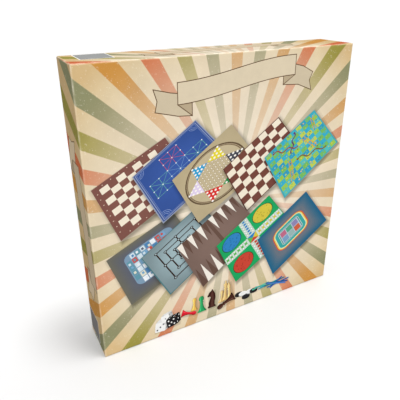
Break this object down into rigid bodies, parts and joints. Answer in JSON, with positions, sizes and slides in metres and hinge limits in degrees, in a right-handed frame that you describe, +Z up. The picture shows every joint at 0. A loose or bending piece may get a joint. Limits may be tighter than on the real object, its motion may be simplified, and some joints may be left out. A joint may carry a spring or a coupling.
{
  "type": "games compendium box",
  "caption": "Square lift-off lid and base box that stands on one edge, holding stacked flat game boards, a rules booklet and a formed tray of chessmen, draughts, pegs, dice and sticks.",
  "frame": {"origin": "centre of the bounding box in plan, on the surface that the box stands on, at the lid's lower wall", "axes": "+Z up as the box stands on its edge, -Y out of the face of the lid, +Y out of the back of the base, +X to the right as seen from in front of the lid"},
  "size_m": [0.27, 0.046, 0.27],
  "materials": {
    "greyboard": "uncoated grey chipboard",
    "printed_wrap": "printed paper, satin varnish",
    "base_paper": "plain beige paper, satin varnish",
    "stay_paper": "kraft paper",
    "tray_plastic": "thermoformed sheet, satin",
    "booklet_print": "printed paper, satin",
    "page_paper": "uncoated paper",
    "staple_wire": "bright wire",
    "chess_print": "printed paper, satin varnish",
    "alquerque_print": "printed paper, satin varnish",
    "draughts_print": "printed paper, satin varnish",
    "morris_print": "printed paper, satin varnish",
    "star_print": "printed paper, satin varnish",
    "spiral_print": "printed paper, satin varnish",
    "ladders_print": "printed paper, satin varnish",
    "cross_print": "printed paper, satin varnish",
    "backgammon_print": "printed paper, satin varnish",
    "oval_print": "printed paper, satin varnish",
    "light_wood": "varnished boxwood colour",
    "dark_wood": "stained dark brown, varnished",
    "white_plastic": "gloss",
    "black_plastic": "gloss",
    "red_plastic": "gloss",
    "yellow_plastic": "gloss",
    "green_plastic": "gloss",
    "blue_plastic": "gloss"
  },
  "bodies": {
    "base": {"base_board": "greyboard", "base_wrap": "base_paper", "base_corner_stays": "stay_paper"},
    "lid": {"lid_board": "greyboard", "lid_wrap": "printed_wrap", "lid_wrap_standing_flap": "printed_wrap", "lid_corner_stays": "stay_paper"},
    "booklet": {"booklet_cover": "booklet_print", "booklet_pages": "page_paper", "booklet_staples": "staple_wire"},
    "chess_board": {"chess_board_core": "greyboard", "chess_face": "chess_print", "alquerque_face": "alquerque_print"},
    "draughts_board": {"draughts_board_core": "greyboard", "draughts_face": "draughts_print", "morris_face": "morris_print"},
    "star_board": {"star_board_core": "greyboard", "star_face": "star_print", "spiral_race_face": "spiral_print"},
    "ladders_board": {"ladders_board_core": "greyboard", "ladders_face": "ladders_print", "cross_race_face": "cross_print"},
    "backgammon_board": {"backgammon_board_core": "greyboard", "backgammon_face": "backgammon_print", "oval_race_face": "oval_print"},
    "tray": {"insert_tray": "tray_plastic", "light_king": "light_wood", "light_queen": "light_wood", "light_bishops": "light_wood", "light_knights": "light_wood", "light_rooks": "light_wood", "light_pawns": "light_wood", "dark_king": "dark_wood", "dark_queen": "dark_wood", "dark_bishops": "dark_wood", "dark_knights": "dark_wood", "dark_rooks": "dark_wood", "dark_pawns": "dark_wood", "white_draughts": "white_plastic", "black_draughts": "black_plastic", "red_pegs": "red_plastic", "yellow_pegs": "yellow_plastic", "green_pegs": "green_plastic", "blue_pegs": "blue_plastic", "white_dice": "white_plastic", "black_dice": "black_plastic", "blue_sticks": "blue_plastic", "green_sticks": "green_plastic", "yellow_sticks": "yellow_plastic", "red_sticks": "red_plastic", "black_stick": "black_plastic"}
  },
  "joints": [
    {"name": "lid_lift", "type": "slide", "parent": "base", "child": "lid", "axis": [0, -1, 0], "range_m": [0, 0.3]},
    {"name": "booklet_out", "type": "slide", "parent": "base", "child": "booklet", "axis": [0, -1, 0], "range_m": [0, 0.246]},
    {"name": "chess_board_out", "type": "slide", "parent": "base", "child": "chess_board", "axis": [0, -1, 0], "range_m": [0, 0.216]},
    {"name": "draughts_board_out", "type": "slide", "parent": "base", "child": "draughts_board", "axis": [0, -1, 0], "range_m": [0, 0.186]},
    {"name": "star_board_out", "type": "slide", "parent": "base", "child": "star_board", "axis": [0, -1, 0], "range_m": [0, 0.156]},
    {"name": "ladders_board_out", "type": "slide", "parent": "base", "child": "ladders_board", "axis": [0, -1, 0], "range_m": [0, 0.126]},
    {"name": "backgammon_board_out", "type": "slide", "parent": "base", "child": "backgammon_board", "axis": [0, -1, 0], "range_m": [0, 0.096]},
    {"name": "tray_out", "type": "slide", "parent": "base", "child": "tray", "axis": [0, -1, 0], "range_m": [0, 0.06]}
  ],
  "couplings": [
    {"joint": "booklet_out", "follows": "lid_lift", "ratio": 0.82},
    {"joint": "chess_board_out", "follows": "lid_lift", "ratio": 0.72},
    {"joint": "draughts_board_out", "follows": "lid_lift", "ratio": 0.62},
    {"joint": "star_board_out", "follows": "lid_lift", "ratio": 0.52},
    {"joint": "ladders_board_out", "follows": "lid_lift", "ratio": 0.42},
    {"joint": "backgammon_board_out", "follows": "lid_lift", "ratio": 0.32},
    {"joint": "tray_out", "follows": "lid_lift", "ratio": 0.2}
  ]
}
